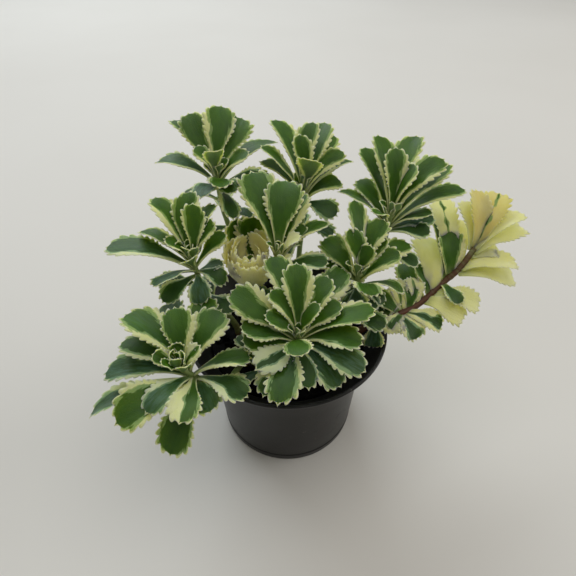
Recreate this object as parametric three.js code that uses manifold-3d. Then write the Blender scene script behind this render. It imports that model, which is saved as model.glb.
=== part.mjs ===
// A potted sedum with cream-edged leaves: ten leafy rosettes and one trailing shoot in a small
// black pot.
// Millimetres, +Z up. The origin is the middle of the pot's base, where it stands. -Y is the front.
import * as THREE from 'three';
import Module from 'manifold-3d';

const wasm = await Module();
wasm.setup();

// Pot
const POT_HEIGHT = 64.6;
const RIM_RADIUS = 45;
const WALL_TOP_RADIUS = 36.8;
const BASE_RADIUS = 33.7;
const FLARE_START = 54.5;
const WALL = 1.3;
const FLOOR = 2.2;
const LIP = 1.4;
const POT_SIDES = 36;
const DRAIN_HOLES = 4;
const DRAIN_RADIUS = 3.2;
const DRAIN_CIRCLE = 22;
const DRAIN_SIDES = 12;
const FOOT_CHAMFER = 0.8;

// Soil
const SOIL_TOP = 55.5;
const SOIL_GAP = 0.3;
const SOIL_SIDES = 24;
const SOIL_RINGS = [0.3, 0.6, 0.88];
const SOIL_LUMP = 0.9;
const SOIL_SHOULDER = 53;
const SOIL_BEVEL = 1.2;
const STEM_DEPTH = 12;
const HOLE_GAP = 0.3;
const HOLE_SIDES = 8;
const HOLE_ABOVE = 10;

// Stems and leaves
const STEM_SIDES = 5;
const STEM_BASE_RADIUS = 1.9;
const STEM_TOP_RADIUS = 1.4;
const RIM_THICKNESS = 0.7;
const RIB_EXTRA = 0.5;
const ARCH = 0.11;
const CUP = 0.22;
const GOLDEN_ANGLE = 137.5;
const STEM_STRAIGHT = 13;
const STRAIGHT_SHARE = 0.4;
const STEM_HANDLE = 0.35;
const STEM_BENDS = 3;
const STEM_START = 1.5;
const TRAILING_BENDS = 12;
const JOINT_SPREAD = 8;
const JOINT_OFFSET = 1;
const SIMPLIFY = 0.1;
const LOWER_START = 16;
const LOWER_STEP = 4.5;
const LOWER_RISE = 8;
const LOWER_LENGTH = 18;
const LOWER_WIDTH = 10;
const BUD_RISE = 52;
const BUD_AZIMUTH = 40;
const BUD_WIDTH = 0.62;
const BUD_DEPTH = 2.4;
const BUD_RAISE = 0.3;

// Half of a leaf's outline, as [share of its length, share of its half width]: a narrow foot,
// then rounded teeth round the broad end. A small leaf has fewer points, and no notch between its
// teeth. The rib's points stand between the two edges.
const LEAF_EDGE = [[0, 0.18], [0.56, 0.95], [0.68, 0.78], [0.85, 0.93], [1, 0]];
const SMALL_EDGE = [[0, 0.2], [0.56, 0.96], [0.82, 0.9], [1, 0]];
const SMALL_LENGTH = 21;
const LEAF_RIB = [0.5, 1];
const TRAILING_FULLNESS = 0.45;

// Each rosette: where its stem stands in the soil, the crown where its leaves meet, the way its
// tip leans (azimuth, rise), and its leaves from the lowest up, each as the tip seen from the
// crown (azimuth, rise, reach) and the leaf's width. Lower gives how many small leaves stand along
// its stem and where the first one points, and bud how many stand at its heart and how long.
const ROSETTES = {
  front: {
    foot: [3, -17],
    crown: [4.1, -26.6, 85],
    lean: [-80, 78],
    leaves: [
      [-124, -24, 25, 11], [-48, -20, 24, 12], [-105, -8, 28, 13], [-35, 0, 28, 12],
      [-134, 0, 21, 11], [-79, -14, 20, 9], [-176, 16, 22, 11], [-170, 2, 21, 11],
      [-19, 13, 24, 12], [8, 20, 30, 12], [157, 26, 30, 13], [134, 6, 30, 12],
      [55, 18, 34, 12], [112, 32, 33, 12], [92, 52, 27, 12], [56, 38, 25, 11],
      [24, 34, 20, 9], [-87, 24, 16, 10], [178, 42, 16, 9], [137, 48, 20, 9],
      [30, 58, 15, 7],
    ],
    lower: [0, 0],
    bud: [1, 6],
  },
  front_left: {
    foot: [-18, -17],
    crown: [-37.5, -39, 80],
    lean: [180, 48],
    leaves: [
      [-162, -17, 37, 14], [-98, -35, 29, 14], [-135, -6, 28, 15], [-118, 4, 20, 11],
      [-84, 2, 22, 11], [-53, -14, 18, 12], [-22, -6, 25, 13], [10, 6, 24, 13],
      [-180, -1, 29, 13], [160, 12, 26, 12], [145, 28, 30, 15], [76, 20, 30, 12],
      [109, 12, 32, 12], [56, 32, 25, 14], [104, 44, 23, 12], [28, 57, 12, 7],
    ],
    lower: [0, 0],
    bud: [1, 10.5],
  },
  left: {
    foot: [-23, 0],
    crown: [-38.3, 0.9, 100],
    lean: [150, 78],
    leaves: [
      [176, 6, 34, 15], [-132, -8, 19, 10], [-125, -26, 20, 9], [-29, -20, 16, 10],
      [11, -22, 13, 9], [-74, -24, 19, 9], [152, 15, 25, 10], [128, 34, 30, 13],
      [93, 48, 27, 12], [64, 40, 24, 11], [38, 20, 17, 9], [78, 66, 22, 9],
      [40, 52, 18, 9], [172, 46, 13, 8], [-85, 32, 11, 8],
    ],
    lower: [4, -180],
    bud: [1, 8],
  },
  back_left: {
    foot: [-15, 19],
    crown: [-31, 37, 118],
    lean: [-100, 82],
    leaves: [
      [-68, -16, 25, 9], [-100, 5, 20, 11], [-60, 6, 19, 10], [170, 10, 26, 15],
      [1, -5, 24, 11], [45, 8, 35, 12], [132, 28, 33, 13], [24, 26, 17, 9],
      [-78, 14, 21, 11], [124, 42, 29, 13], [66, 32, 30, 15], [85, 44, 31, 14],
      [158, 54, 14, 8], [-74, 58, 17, 8],
    ],
    lower: [4, -180],
    bud: [1, 7],
  },
  back_middle: {
    foot: [4, 21],
    crown: [7.2, 36.9, 112],
    lean: [80, 82],
    leaves: [
      [-45, -16, 20, 11], [-120, -8, 18, 9], [22, 0, 18, 11], [138, 12, 25, 11],
      [114, 32, 36, 13], [146, 30, 26, 10], [30, 15, 26, 9], [26, 33, 23, 9],
      [77, 55, 28, 10], [62, 23, 33, 11], [68, 38, 32, 11], [104, 68, 22, 9],
      [-75, 66, 18, 11],
    ],
    lower: [4, -180],
    bud: [1, 7],
  },
  back_right: {
    foot: [21, 14],
    crown: [43.8, 21, 108],
    lean: [60, 80],
    leaves: [
      [-20, -16, 18, 9], [10, -10, 20, 10], [155, 14, 24, 12], [-8, 6, 17, 9],
      [120, 16, 23, 11], [14, 15, 33, 12], [34, 27, 33, 13], [26, 44, 30, 12],
      [108, 29, 34, 12], [100, 42, 35, 12], [66, 38, 37, 13], [86, 60, 27, 10],
      [43, 61, 22, 11], [-150, 26, 10, 8],
    ],
    lower: [4, -180],
    bud: [1, 7],
  },
  right_middle: {
    foot: [15, -2],
    crown: [29.2, -0.2, 92],
    lean: [70, 82],
    leaves: [
      [-110, -20, 15, 9], [-20, -6, 19, 10], [134, 26, 21, 12], [150, 8, 19, 9],
      [28, 19, 26, 11], [10, 33, 19, 10], [40, 42, 19, 8], [-78, 14, 15, 13],
      [95, 50, 31, 10], [54, 46, 25, 11], [120, 64, 20, 9], [40, 70, 14, 8],
      [-92, -14, 17, 9], [-62, -32, 15, 9], [-34, -30, 15, 8], [-150, -24, 12, 8],
    ],
    lower: [4, -180],
    bud: [1, 7.5],
  },
  centre: {
    foot: [-1, 3],
    crown: [-3.8, 4.9, 100],
    lean: [90, 82],
    leaves: [
      [-20, 0, 21, 11], [27, 20, 24, 12], [-50, 14, 8, 6], [66, 33, 28, 13],
      [43, 27, 16, 9], [113, 38, 36, 17], [82, 46, 30, 16], [5, 42, 12, 7],
    ],
    lower: [3, -60],
    bud: [1, 6],
  },
  cream: {
    foot: [-12, 6],
    crown: [-15.2, 4.8, 90],
    lean: [-90, 80],
    leaves: [
      [-100, 42, 15, 16], [-54, 44, 14, 15], [-148, 46, 14, 15], [-16, 52, 10, 10],
      [165, 56, 16, 14], [118, 55, 23, 15], [84, 60, 23, 14], [58, 62, 18, 10],
      [-78, 58, 14, 14], [-125, 58, 14, 14], [-32, 62, 13, 11], [178, 64, 14, 13],
      [64, 68, 17, 11], [140, 66, 16, 11], [-100, 68, 10, 9], [20, 72, 12, 9],
    ],
    lower: [0, 0],
    bud: [1, 8],
    cup: 0.45,
    arch: -0.2,
  },
  low: {
    foot: [-8, -27],
    crown: [-12.5, -25, 68],
    lean: [120, 75],
    leaves: [
      [175, 4, 13, 9], [120, 14, 14, 9], [-110, -4, 10, 8],
    ],
    lower: [0, 0],
    bud: [1, 6],
  },
};

// The trailing shoot: the points that its stem follows over the rim, and its leaves, each as how
// far back from the stem's tip it joins, and then azimuth, rise, length and width.
const TRAILING_FOOT = [26, -6];
const TRAILING_KNEE = [3, 7];
const TRAILING_STEM = [
  [40.6, -5.5, 70], [50, -2.3, 72], [56.2, 0.7, 73], [64, 5.8, 75.5],
  [71.4, 10.9, 80], [76.4, 13.1, 84], [83.5, 19.4, 91],
];
const TRAILING_LEAVES = [
  [0, 86, 50, 26, 12], [0, 56, 40, 28, 13], [1, 93, 40, 23, 12], [1, 24, 30, 27, 9],
  [2, 20, 15, 26, 13], [4, 16, 0, 16, 9], [11, -2, 8, 24, 13], [13, 0, -8, 27, 12],
  [13, 98, 33, 36, 12], [20, 96, 35, 30, 7], [16, 89, 47, 20, 13], [28, 93, 32, 27, 14],
  [36, 101, 25, 21, 10], [29, 107, 35, 15, 8], [11, 84, 30, 25, 10], [21, -71, 0, 13, 8],
  [27, -21, -2, 20, 12], [32, -32, -6, 18, 12], [44, -19, -8, 17, 10], [47, -59, -12, 13, 12],
  [50, -97, -3, 9, 8], [42, 80, 40, 11, 8], [46, 144, 25, 14, 9], [44, 104, 35, 15, 9],
  [58, -98, -34, 10, 9], [52, -155, 15, 9, 8], [38, 95, 40, 13, 9], [53, 60, 14, 13, 9],
  [60, 112, 16, 11, 9], [33, 119, 10, 14, 9], [45, -120, -5, 11, 9], [53, 104, 10, 10, 9],
  [22, 72, 2, 17, 9],
];

const ROUGHNESS = { pot: 0.42, soil: 0.95, leaf: 0.5 };
const COLOURS = {
  pot: '#343432',
  soil: '#15120f',
  leaf: '#46602f',
  cream: '#b9b070',
  trailing: '#a9ac6c',
};

function radians(degrees) {
  return THREE.MathUtils.degToRad(degrees);
}

function direction(azimuth, rise) {
  const flat = Math.cos(radians(rise));
  return new THREE.Vector3(
    flat * Math.cos(radians(azimuth)),
    flat * Math.sin(radians(azimuth)),
    Math.sin(radians(rise)),
  );
}

function vector(values) {
  return new THREE.Vector3(values[0], values[1], values[2]);
}

function solid(points, triangles) {
  const vertProperties = new Float32Array(points.length * 3);
  points.forEach((point, index) => point.toArray(vertProperties, index * 3));
  const triVerts = new Uint32Array(triangles);
  return new wasm.Manifold(new wasm.Mesh({ numProp: 3, vertProperties, triVerts }));
}

// Triangles of one half of a leaf's face, between its rib and one edge, both from foot to tip.
function stitch(ribShares, edgeShares) {
  const triangles = [];
  let rib = 0;
  let edge = 0;
  while (edge < edgeShares.length - 2) {
    if (edgeShares[edge + 1] <= ribShares[rib + 1] || rib === ribShares.length - 2) {
      triangles.push([['rib', rib], ['edge', edge], ['edge', edge + 1]]);
      edge += 1;
    } else {
      triangles.push([['rib', rib], ['edge', edge], ['rib', rib + 1]]);
      rib += 1;
    }
  }
  triangles.push([['rib', rib], ['edge', edge], ['rib', rib + 1]]);
  return triangles;
}

// One leaf: a thin arched blade with a toothed edge, cupped a little along its rib. The fuller it
// is, the wider its foot.
function blade(root, tip, width, azimuth, cup = CUP, arch = ARCH, fullness = 0) {
  const chord = tip.clone().sub(root);
  const length = chord.length();
  const along = chord.clone().normalize();
  const side = new THREE.Vector3(-Math.sin(radians(azimuth)), Math.cos(radians(azimuth)), 0);
  side.addScaledVector(along, -side.dot(along)).normalize();
  const up = along.clone().cross(side).normalize();
  const outline = length < SMALL_LENGTH ? SMALL_EDGE : LEAF_EDGE;

  const midrib = (share) => root.clone()
    .addScaledVector(chord, share)
    .addScaledVector(up, 4 * arch * length * share * (1 - share));

  const points = [];
  const top = { rib: [], left: [], right: [] };
  const bottom = { rib: [], left: [], right: [] };
  const addPair = (row, place, depth) => {
    top[row].push(points.length);
    points.push(place.clone().addScaledVector(up, RIM_THICKNESS / 2));
    bottom[row].push(points.length);
    points.push(place.clone().addScaledVector(up, -RIM_THICKNESS / 2 - depth));
  };
  for (const share of LEAF_RIB) {
    addPair('rib', midrib(share), share < 1 ? RIB_EXTRA : 0);
  }
  for (const [row, sign] of [['left', 1], ['right', -1]]) {
    for (const [share, halfShare] of outline.slice(0, -1)) {
      const half = halfShare ** (1 - fullness) * width / 2;
      addPair(row, midrib(share).addScaledVector(side, sign * half).addScaledVector(up, cup * half), 0);
    }
    top[row].push(top.rib[LEAF_RIB.length - 1]);
    bottom[row].push(bottom.rib[LEAF_RIB.length - 1]);
  }

  const triangles = [
    top.left[0], top.right[0], top.rib[0],
    bottom.left[0], bottom.rib[0], bottom.right[0],
    top.left[0], bottom.left[0], bottom.right[0],
    top.left[0], bottom.right[0], top.right[0],
  ];
  const pick = (face, row, entry) => (entry[0] === 'rib' ? face.rib[entry[1]] : face[row][entry[1]]);
  const half = stitch(LEAF_RIB, outline.map((entry) => entry[0]));
  for (const [row, turned] of [['left', true], ['right', false]]) {
    for (const corners of half) {
      const [a, b, c] = corners.map((entry) => pick(top, row, entry));
      const [d, e, f] = corners.map((entry) => pick(bottom, row, entry));
      triangles.push(...(turned ? [a, c, b, d, e, f] : [a, b, c, d, f, e]));
    }
    for (let index = 0; index < outline.length - 1; index += 1) {
      const [a, b] = [top[row][index], top[row][index + 1]];
      const [c, d] = [bottom[row][index], bottom[row][index + 1]];
      triangles.push(...(turned ? [a, b, c, b, d, c] : [a, c, b, b, c, d]));
    }
  }
  return solid(points, triangles);
}

// A round stem through a row of points, thinner towards its tip.
function stemSolid(path, baseRadius, tipRadius) {
  const points = [];
  const triangles = [];
  let side = new THREE.Vector3(1, 0, 0);
  path.forEach((place, index) => {
    const before = path[Math.max(index - 1, 0)];
    const after = path[Math.min(index + 1, path.length - 1)];
    const along = after.clone().sub(before).normalize();
    side = side.clone().addScaledVector(along, -side.dot(along)).normalize();
    const across = along.clone().cross(side);
    const radius = THREE.MathUtils.lerp(baseRadius, tipRadius, index / (path.length - 1));
    for (let corner = 0; corner < STEM_SIDES; corner += 1) {
      const turn = 2 * Math.PI * corner / STEM_SIDES;
      points.push(place.clone()
        .addScaledVector(side, radius * Math.cos(turn))
        .addScaledVector(across, radius * Math.sin(turn)));
    }
  });
  for (let ring = 0; ring < path.length - 1; ring += 1) {
    for (let corner = 0; corner < STEM_SIDES; corner += 1) {
      const next = (corner + 1) % STEM_SIDES;
      const [a, b] = [ring * STEM_SIDES + corner, ring * STEM_SIDES + next];
      triangles.push(a, b, b + STEM_SIDES, a, b + STEM_SIDES, a + STEM_SIDES);
    }
  }
  const last = (path.length - 1) * STEM_SIDES;
  for (let corner = 1; corner < STEM_SIDES - 1; corner += 1) {
    triangles.push(0, corner + 1, corner);
    triangles.push(last, last + corner, last + corner + 1);
  }
  return solid(points, triangles);
}

// The points of a rosette's stem: straight up out of its hole, a smooth bend, then straight
// along its lean to the crown.
function stemPath(foot, crown, lean) {
  const start = new THREE.Vector3(foot[0], foot[1], SOIL_TOP + STEM_START);
  const end = vector(crown);
  const straight = Math.min(STEM_STRAIGHT, end.distanceTo(start) * STRAIGHT_SHARE);
  const bend = end.clone().addScaledVector(lean, -straight);
  const reach = bend.distanceTo(start);
  const curve = new THREE.CubicBezierCurve3(
    start,
    start.clone().add(new THREE.Vector3(0, 0, reach * STEM_HANDLE)),
    bend.clone().addScaledVector(lean, -reach * STEM_HANDLE),
    bend,
  );
  const bottom = new THREE.Vector3(foot[0], foot[1], SOIL_TOP - STEM_DEPTH + HOLE_GAP);
  return [bottom, ...curve.getPoints(STEM_BENDS), end];
}

function pointBack(path, distance) {
  let left = distance;
  for (let index = path.length - 1; index > 0; index -= 1) {
    const piece = path[index].distanceTo(path[index - 1]);
    if (left <= piece) {
      return path[index].clone().lerp(path[index - 1], left / piece);
    }
    left -= piece;
  }
  return path[0].clone();
}

// Leaves and stem as one solid, without the sealed pockets that crossing leaves shut in.
function fuse(pieces) {
  const skins = wasm.Manifold.union(pieces).simplify(SIMPLIFY).decompose();
  return wasm.Manifold.compose(skins.filter((skin) => skin.volume() > 0));
}

// A stem with its leaves: the steeper a leaf stands, the higher it joins.
function rosette(plan) {
  const lean = direction(plan.lean[0], plan.lean[1]);
  const path = stemPath(plan.foot, plan.crown, lean);
  const crown = vector(plan.crown);
  const [budLeaves, budLength] = plan.bud;
  const tip = crown.clone().addScaledVector(lean, budLength * BUD_RAISE);
  path[path.length - 1] = tip;
  const pieces = [stemSolid(path, STEM_BASE_RADIUS, STEM_TOP_RADIUS)];
  const leaves = [...plan.leaves].sort((first, second) => first[1] - second[1]);
  leaves.forEach(([azimuth, rise, reach, width], index) => {
    const joint = crown.clone().addScaledVector(lean, -JOINT_SPREAD * (1 - (index + 1) / leaves.length));
    const end = crown.clone().addScaledVector(direction(azimuth, rise), reach);
    joint.addScaledVector(direction(azimuth, 0), JOINT_OFFSET);
    pieces.push(blade(joint, end, width, azimuth, plan.cup, plan.arch));
  });
  const [lowerLeaves, firstAzimuth] = plan.lower;
  for (let index = 0; index < lowerLeaves; index += 1) {
    const azimuth = firstAzimuth + GOLDEN_ANGLE * index;
    const joint = pointBack(path, LOWER_START + LOWER_STEP * index);
    const end = joint.clone().addScaledVector(direction(azimuth, LOWER_RISE), LOWER_LENGTH);
    joint.addScaledVector(direction(azimuth, 0), JOINT_OFFSET);
    pieces.push(blade(joint, end, LOWER_WIDTH, azimuth));
  }
  for (let index = 0; index < budLeaves; index += 1) {
    const azimuth = BUD_AZIMUTH + GOLDEN_ANGLE * index;
    const joint = tip.clone().addScaledVector(lean, index - BUD_DEPTH);
    const end = tip.clone().addScaledVector(direction(azimuth, BUD_RISE), budLength);
    joint.addScaledVector(direction(azimuth, 0), JOINT_OFFSET);
    pieces.push(blade(joint, end, BUD_WIDTH * budLength, azimuth));
  }
  return fuse(pieces);
}

function trailingPath() {
  const [x, y] = TRAILING_FOOT;
  const bottom = new THREE.Vector3(x, y, SOIL_TOP - STEM_DEPTH + HOLE_GAP);
  const start = new THREE.Vector3(x, y, SOIL_TOP + STEM_START);
  const knee = new THREE.Vector3(x + TRAILING_KNEE[0], y, SOIL_TOP + TRAILING_KNEE[1]);
  const stops = [start, knee, ...TRAILING_STEM.map(vector)];
  const curve = new THREE.CatmullRomCurve3(stops, false, 'centripetal');
  return [bottom, ...curve.getPoints(TRAILING_BENDS)];
}

function trailingShoot() {
  const path = trailingPath();
  const pieces = [stemSolid(path, STEM_BASE_RADIUS, STEM_TOP_RADIUS)];
  for (const [back, azimuth, rise, length, width] of TRAILING_LEAVES) {
    const joint = pointBack(path, back);
    const end = joint.clone().addScaledVector(direction(azimuth, rise), length);
    joint.addScaledVector(direction(azimuth, 0), JOINT_OFFSET);
    pieces.push(blade(joint, end, width, azimuth, CUP, ARCH, TRAILING_FULLNESS));
  }
  return fuse(pieces);
}

function lathe(profile, sides) {
  const points = [];
  const triangles = [];
  const rings = profile.slice(1, -1);
  points.push(new THREE.Vector3(0, 0, profile[0][1]));
  for (const [radius, height] of rings) {
    for (let corner = 0; corner < sides; corner += 1) {
      const turn = 2 * Math.PI * corner / sides;
      points.push(new THREE.Vector3(radius * Math.cos(turn), radius * Math.sin(turn), height));
    }
  }
  points.push(new THREE.Vector3(0, 0, profile[profile.length - 1][1]));
  const end = points.length - 1;
  for (let corner = 0; corner < sides; corner += 1) {
    const next = (corner + 1) % sides;
    triangles.push(0, 1 + next, 1 + corner);
    for (let ring = 0; ring < rings.length - 1; ring += 1) {
      const [a, b] = [1 + ring * sides + corner, 1 + ring * sides + next];
      triangles.push(a, b, b + sides, a, b + sides, a + sides);
    }
    const last = 1 + (rings.length - 1) * sides;
    triangles.push(last + corner, last + next, end);
  }
  return solid(points, triangles);
}

// The pot: a slim tapered wall that opens into a wide flared lip, with drain holes in its floor.
function potSolid() {
  const body = lathe([
    [0, 0],
    [BASE_RADIUS - FOOT_CHAMFER, 0],
    [BASE_RADIUS, FOOT_CHAMFER],
    [WALL_TOP_RADIUS - 0.4, FLARE_START - 2],
    [WALL_TOP_RADIUS + 0.6, FLARE_START + 0.6],
    [RIM_RADIUS - 0.5, POT_HEIGHT - LIP],
    [RIM_RADIUS, POT_HEIGHT - LIP * 0.5],
    [RIM_RADIUS - 0.4, POT_HEIGHT],
    [RIM_RADIUS - LIP, POT_HEIGHT],
    [WALL_TOP_RADIUS - WALL + 0.8, FLARE_START + 1],
    [WALL_TOP_RADIUS - WALL - SOIL_GAP, SOIL_SHOULDER],
    [BASE_RADIUS - WALL, FLOOR],
    [0, FLOOR],
  ], POT_SIDES);
  const drains = [];
  for (let index = 0; index < DRAIN_HOLES; index += 1) {
    const turn = 2 * Math.PI * (index + 0.5) / DRAIN_HOLES;
    drains.push(wasm.Manifold.cylinder(FLOOR * 3, DRAIN_RADIUS, DRAIN_RADIUS, DRAIN_SIDES)
      .translate([DRAIN_CIRCLE * Math.cos(turn), DRAIN_CIRCLE * Math.sin(turn), -FLOOR]));
  }
  return body.subtract(wasm.Manifold.union(drains));
}

// How far the soil's surface stands above or below its level: a slow swell and a finer ripple.
function soilLump(x, y) {
  const swell = Math.sin(x * 0.31 + 1.1) * Math.cos(y * 0.27 - 0.4);
  const ripple = Math.sin(x * 0.7 - y * 0.55);
  return SOIL_LUMP * (swell + ripple / 2);
}

// The soil: a plug that fills the pot, uneven on top, with a plain hole for each stem.
function soilSolid(feet) {
  const topRadius = WALL_TOP_RADIUS - WALL - 2 * SOIL_GAP;
  const bottomRadius = BASE_RADIUS - WALL - SOIL_GAP;
  const rings = [
    [bottomRadius, FLOOR + SOIL_GAP],
    [topRadius, SOIL_SHOULDER],
    [topRadius + 0.4, SOIL_TOP - SOIL_BEVEL],
  ];
  for (const share of [...SOIL_RINGS].reverse()) {
    rings.push([topRadius * share, SOIL_TOP]);
  }
  const body = lathe([[0, FLOOR + SOIL_GAP], ...rings, [0, SOIL_TOP]], SOIL_SIDES);
  const lumpy = body.warp((point) => {
    if (point[2] > SOIL_TOP - SOIL_BEVEL / 2) {
      point[2] += soilLump(point[0], point[1]);
    }
  });
  const radius = STEM_BASE_RADIUS + HOLE_GAP;
  const hole = wasm.Manifold.cylinder(STEM_DEPTH + HOLE_ABOVE, radius, radius, HOLE_SIDES);
  const holes = feet.map(([x, y]) => hole.translate([x, y, SOIL_TOP - STEM_DEPTH]));
  return lumpy.subtract(wasm.Manifold.union(holes));
}

function mesh(name, body, colour, roughness) {
  const result = body.getMesh();
  const geometry = new THREE.BufferGeometry();
  geometry.setAttribute('position', new THREE.BufferAttribute(new Float32Array(result.vertProperties), 3));
  geometry.setIndex(new THREE.BufferAttribute(new Uint32Array(result.triVerts), 1));
  geometry.computeVertexNormals();
  const material = new THREE.MeshStandardMaterial({ color: colour, roughness, metalness: 0 });
  const piece = new THREE.Mesh(geometry, material);
  piece.name = name;
  return piece;
}

const group = new THREE.Group();
const feet = [...Object.values(ROSETTES).map((plan) => plan.foot), TRAILING_FOOT];
group.add(mesh('pot', potSolid(), COLOURS.pot, ROUGHNESS.pot));
group.add(mesh('soil', soilSolid(feet), COLOURS.soil, ROUGHNESS.soil));
for (const [name, plan] of Object.entries(ROSETTES)) {
  const colour = name === 'cream' ? COLOURS.cream : COLOURS.leaf;
  group.add(mesh(`shoot_${name}`, rosette(plan), colour, ROUGHNESS.leaf));
}
group.add(mesh('shoot_trailing', trailingShoot(), COLOURS.trailing, ROUGHNESS.leaf));

export default group;
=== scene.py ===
"""A potted sedum with cream-edged leaves: ten leafy rosettes and one trailing shoot in a small black pot.

Sizes in the tables and in the mesh functions are millimetres, scaled to metres when a mesh is made.
The camera, the lights and the floor are in metres.
"""
import math

import bpy
import numpy as np
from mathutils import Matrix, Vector, noise


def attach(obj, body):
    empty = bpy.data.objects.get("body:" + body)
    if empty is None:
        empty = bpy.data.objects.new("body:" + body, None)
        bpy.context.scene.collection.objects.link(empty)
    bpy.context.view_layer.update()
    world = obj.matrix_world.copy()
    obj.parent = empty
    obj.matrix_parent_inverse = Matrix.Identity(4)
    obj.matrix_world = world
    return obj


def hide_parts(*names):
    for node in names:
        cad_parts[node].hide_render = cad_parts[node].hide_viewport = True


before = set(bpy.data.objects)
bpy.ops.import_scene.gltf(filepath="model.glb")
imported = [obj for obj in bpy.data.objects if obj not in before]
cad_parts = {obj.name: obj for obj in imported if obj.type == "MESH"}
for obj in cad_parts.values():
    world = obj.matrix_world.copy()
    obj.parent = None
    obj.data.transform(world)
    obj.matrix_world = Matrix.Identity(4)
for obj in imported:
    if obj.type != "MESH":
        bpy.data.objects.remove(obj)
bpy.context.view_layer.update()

METRE = 0.001

# Pot and soil
POT_HEIGHT = 64.6
RIM_RADIUS = 45.0
WALL_TOP_RADIUS = 36.8
BASE_RADIUS = 33.7
WALL = 1.3
FLOOR_THICKNESS = 2.2
POT_STEPS = 144
SOIL_TOP = 55.5
SOIL_RADIUS = 35.3
SOIL_STEPS = 120
SOIL_RINGS = 34
SOIL_LUMP = 1.6
SOIL_GRAIN = 0.16
GRANULES = 420
GRANULE_SIDES = 7
GRANULE_SIZES = (0.45, 1.5)
LARGE_SIZES = (1.3, 2.3)
LARGE_EVERY = 9

# Stems
STEM_DEPTH = 11.7
STEM_SIDES = 12
STEM_BASE_RADIUS = 1.7
STEM_TOP_RADIUS = 1.05
STEM_HANDLE = 0.35
STEM_STRAIGHT = 13.0
STRAIGHT_SHARE = 0.4
STEM_START = 1.5
STEM_STEPS = 22
STEM_TAPER = 0.6
STEM_SWELL = 0.1
SWELL_SPACING = 5.5
STEM_MATERIAL = 1
JOINT_SPREAD = 8.0
JOINT_OFFSET = 0.7

# Leaves
ARCH = 0.11
CUP = 0.2
RIB_THICKNESS = 1.15
RIM_THICKNESS = 0.34
RUFFLE = 0.5
RUFFLE_WAVES = 9.0
WIDTH_SPREAD = (0.88, 1.06)
CUP_SPREAD = (0.75, 1.25)
TWIST = 24
SWAY = 0.055
CURL = (-1.4, 0.6)
CURL_START = 0.62
CUP_ROUNDING = 0.6
CUP_BASE = 0.775
GROOVE_DEPTH = 0.16
GROOVE_WIDTH = 0.12
TOOTH_DEPTH = 0.095
TOOTH_SIZES = (0.6, 1.3)
TOOTH_SPACING = 1.45
TOOTH_ROWS = 6
TEETH = 6
MORE_TEETH_FROM = (15, 22)
PLAIN_ROWS = 8
OUTLINE_STEPS = 10
TOOTH_START = 0.42
VEIN_SLANT = 0.22
GOLDEN_ANGLE = 137.5
YOUNG_RISE = 35
AGE_SPAN = 50
SMALL_MARGIN = (1, 4)
LOWER_START = 16.0
LOWER_STEP = 4.5
LOWER_RISE = 8.0
LOWER_LENGTH = 18.0
LOWER_WIDTH = 10.0
BUD_AZIMUTH = 40
BUD_RISE = (36.0, 84.0)
BUD_RAISE = 0.3
BUD_STEP = 0.3
BUD_DEPTH = 2.4
BUD_WIDTH = 0.62
BUD_SHORTEN = 0.5
BUD_NARROW = 0.35
BUD_CUP = 0.42
BUD_ARCH = -0.07

# Half of a leaf's outline before its teeth: share of the length, share of the half width.
LEAF_OUTLINE = [
    (0, 0.18), (0.2, 0.28), (0.38, 0.48), (0.54, 0.78), (0.68, 0.99),
    (0.81, 1.0), (0.915, 0.84), (0.975, 0.52), (1, 0),
]

# Where the lines of vertices run from the rib to the edge, as shares of the way.
LEAF_COLUMNS = [0.0, 0.3, 0.6, 0.86, 1.0]

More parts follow.
